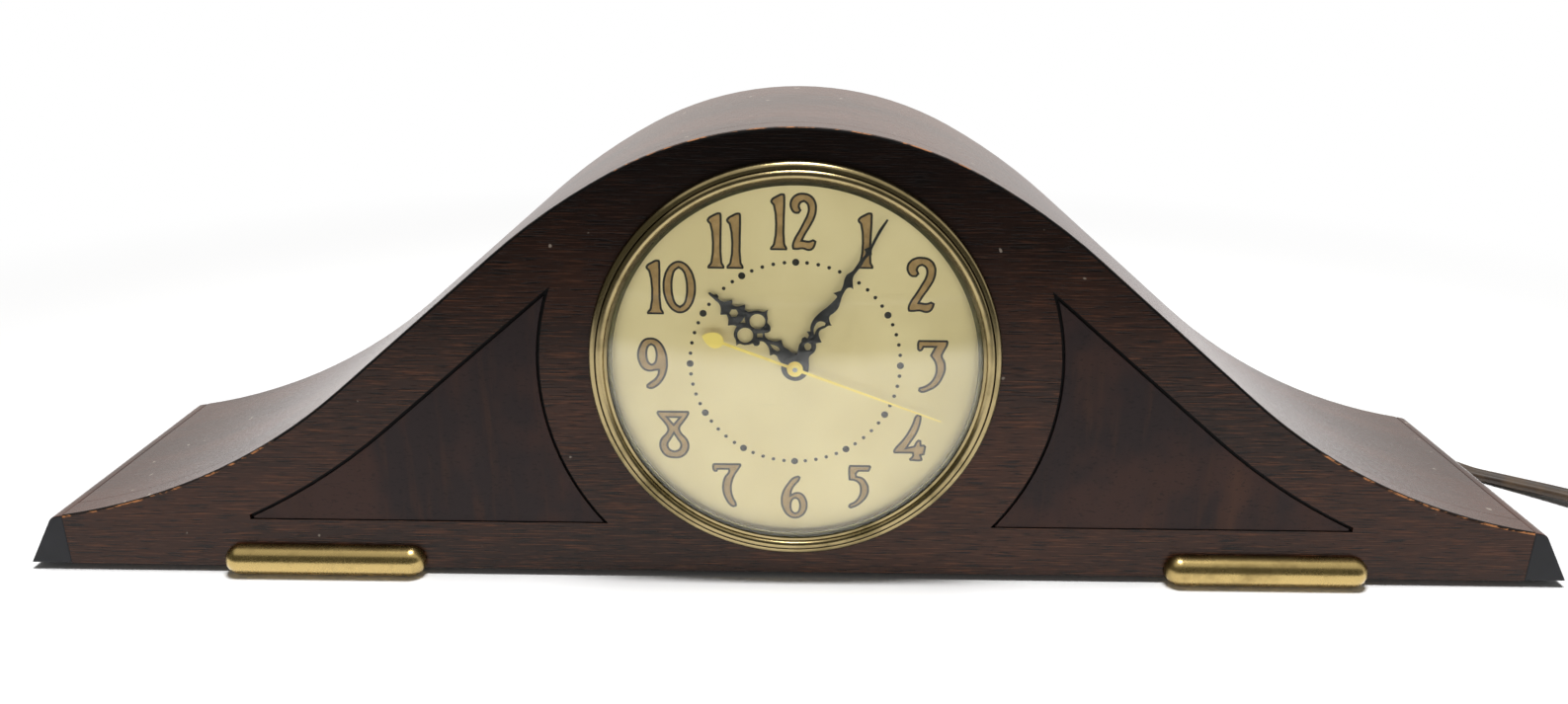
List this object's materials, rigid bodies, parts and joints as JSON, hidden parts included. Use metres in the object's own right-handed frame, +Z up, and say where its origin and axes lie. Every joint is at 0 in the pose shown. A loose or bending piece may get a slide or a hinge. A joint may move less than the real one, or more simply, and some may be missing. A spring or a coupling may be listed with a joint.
{
  "type": "tambour mantel clock",
  "caption": "Electric tambour mantel clock: curved dark wood case, inlaid side panels, brass-bezelled dial, movement, chime rods and hinged back door.",
  "frame": {"origin": "middle of the clock's footprint on the table, midway between the ends and between the glass's front and the case's back edge", "axes": "+X to the right as seen from the front, along the case; -Y towards the viewer, the way the dial faces; +Z up"},
  "size_m": [0.7237, 0.1837, 0.1559],
  "materials": {
    "walnut": "dark brown walnut under satin lacquer",
    "panel": "matched dark veneer with a flame figure",
    "ebonised": "black lacquer",
    "plain_wood": "bare sawn board",
    "brass": "polished, lacquered",
    "glass": "clear, convex",
    "dial": "cream enamel with printed figures",
    "black": "black enamel",
    "gilt": "gilt",
    "steel": "plain steel",
    "iron": "dark laminated iron",
    "coil": "varnished tape",
    "zinc": "cast zinc",
    "felt": "black rubber",
    "cord": "brown flat twin cord",
    "plug": "brown-black moulded",
    "bronze": "drawn bronze"
  },
  "bodies": {
    "case": {"case_front": "walnut", "inlay_left": "panel", "inlay_right": "panel", "case_top": "walnut", "end_left": "ebonised", "end_right": "ebonised", "bottom_board": "plain_wood", "glue_blocks": "plain_wood", "back_panel": "plain_wood", "hinge_leaf_fixed": "brass", "hinge_pins": "steel", "latch_screw": "brass", "foot_left": "brass", "foot_right": "brass", "rear_feet": "felt", "wood_screws": "steel", "bezel": "brass", "bezel_glass": "glass", "glass_ring": "brass", "dial_plate": "dial", "front_plate": "steel", "back_plate": "steel", "pillars": "steel", "machine_screws": "steel", "motor_gear_case": "zinc", "stator_core": "iron", "motor_coil": "coil", "motor_posts": "brass", "chime_bracket": "steel", "chime_rods": "bronze", "rod_block": "iron", "inner_lead": "cord", "strain_relief": "cord", "cord_tube": "cord", "cord_coil": "cord", "plug_body": "plug", "plug_blades": "brass"},
    "minute_works": {"minute_hand": "black", "minute_arbor": "brass"},
    "hour_works": {"hour_hand": "black", "hour_wheel": "brass"},
    "motion_wheel": {"minute_wheel": "brass"},
    "setting": {"set_arbor": "steel", "set_knob": "plug"},
    "second_works": {"second_hand": "gilt", "second_arbor": "steel"},
    "intermediate": {"intermediate_wheel": "brass"},
    "centre_drive": {"centre_wheel": "brass"},
    "motor_drive": {"motor_pinion": "steel"},
    "motor_rotor": {"rotor": "steel"},
    "drum": {"chime_drum": "brass"},
    "chime_drive": {"chime_pinion": "steel"},
    "striker_1": {"hammer_1": "brass"},
    "striker_2": {"hammer_2": "brass"},
    "striker_3": {"hammer_3": "brass"},
    "striker_4": {"hammer_4": "brass"},
    "door": {"back_door": "plain_wood", "hinge_leaf_door": "brass"},
    "latch": {"door_latch": "brass"},
    "silencer": {"silencer_lever": "steel"}
  },
  "joints": [
    {"name": "minute_spin", "type": "hinge", "parent": "case", "child": "minute_works", "pos_m": [0, -0.05, 0.0784], "axis": [0, 1, 0], "continuous": true},
    {"name": "hour_spin", "type": "hinge", "parent": "case", "child": "hour_works", "pos_m": [0, -0.05, 0.0784], "axis": [0, 1, 0], "continuous": true},
    {"name": "minute_wheel_spin", "type": "hinge", "parent": "case", "child": "motion_wheel", "pos_m": [0, -0.05, 0.0909], "axis": [0, 1, 0], "continuous": true},
    {"name": "set_spin", "type": "hinge", "parent": "case", "child": "setting", "pos_m": [0.01082, -0.05, 0.09715], "axis": [0, 1, 0], "continuous": true},
    {"name": "second_spin", "type": "hinge", "parent": "case", "child": "second_works", "pos_m": [0, -0.05, 0.0784], "axis": [0, 1, 0], "continuous": true},
    {"name": "intermediate_spin", "type": "hinge", "parent": "case", "child": "intermediate", "pos_m": [-0.01273, -0.05, 0.06567], "axis": [0, 1, 0], "continuous": true},
    {"name": "centre_wheel_spin", "type": "hinge", "parent": "case", "child": "centre_drive", "pos_m": [0, -0.05, 0.0784], "axis": [0, 1, 0], "continuous": true},
    {"name": "motor_pinion_spin", "type": "hinge", "parent": "case", "child": "motor_drive", "pos_m": [-0.0144, -0.05, 0.0784], "axis": [0, 1, 0], "continuous": true},
    {"name": "rotor_spin", "type": "hinge", "parent": "case", "child": "motor_rotor", "pos_m": [-0.026, -0.05, 0.0864], "axis": [0, 1, 0], "continuous": true},
    {"name": "drum_spin", "type": "hinge", "parent": "case", "child": "drum", "pos_m": [-0.012, -0.05, 0.0534], "axis": [0, 1, 0], "continuous": true},
    {"name": "chime_pinion_spin", "type": "hinge", "parent": "case", "child": "chime_drive", "pos_m": [0.00099, -0.05, 0.0459], "axis": [0, 1, 0], "continuous": true},
    {"name": "hammer_1_swing", "type": "hinge", "parent": "case", "child": "striker_1", "pos_m": [0.01, 0.006, 0.0544], "axis": [0, -1, 0], "range_deg": [-2.5, 10], "stiffness_Nm_per_rad": 0.1, "springref_deg": 0.86},
    {"name": "hammer_2_swing", "type": "hinge", "parent": "case", "child": "striker_2", "pos_m": [0.01, 0.014, 0.0544], "axis": [0, -1, 0], "range_deg": [-2.5, 10], "stiffness_Nm_per_rad": 0.1, "springref_deg": 0.86},
    {"name": "hammer_3_swing", "type": "hinge", "parent": "case", "child": "striker_3", "pos_m": [0.01, 0.022, 0.0544], "axis": [0, -1, 0], "range_deg": [-2.5, 10], "stiffness_Nm_per_rad": 0.1, "springref_deg": 0.86},
    {"name": "hammer_4_swing", "type": "hinge", "parent": "case", "child": "striker_4", "pos_m": [0.01, 0.03, 0.0544], "axis": [0, -1, 0], "range_deg": [-2.5, 10], "stiffness_Nm_per_rad": 0.1, "springref_deg": 0.86},
    {"name": "door_hinge", "type": "hinge", "parent": "case", "child": "door", "pos_m": [-0.062, 0.05715, 0.0705], "axis": [0, 0, 1], "range_deg": [0, 110]},
    {"name": "latch_turn", "type": "hinge", "parent": "case", "child": "latch", "pos_m": [0.069, 0.0565, 0.0705], "axis": [0, 1, 0], "range_deg": [0, 90]},
    {"name": "silencer_turn", "type": "hinge", "parent": "case", "child": "silencer", "pos_m": [-0.008, 0.0403, 0.0664], "axis": [0, 1, 0], "range_deg": [-15, 15]}
  ],
  "couplings": [
    {"joint": "hour_spin", "follows": "minute_spin", "ratio": 0.083333},
    {"joint": "minute_wheel_spin", "follows": "minute_spin", "ratio": -0.33333},
    {"joint": "set_spin", "follows": "minute_spin", "ratio": 1},
    {"joint": "intermediate_spin", "follows": "second_spin", "ratio": -0.13333},
    {"joint": "centre_wheel_spin", "follows": "second_spin", "ratio": 0.016667},
    {"joint": "motor_pinion_spin", "follows": "second_spin", "ratio": -3},
    {"joint": "chime_pinion_spin", "follows": "drum_spin", "ratio": -4}
  ]
}
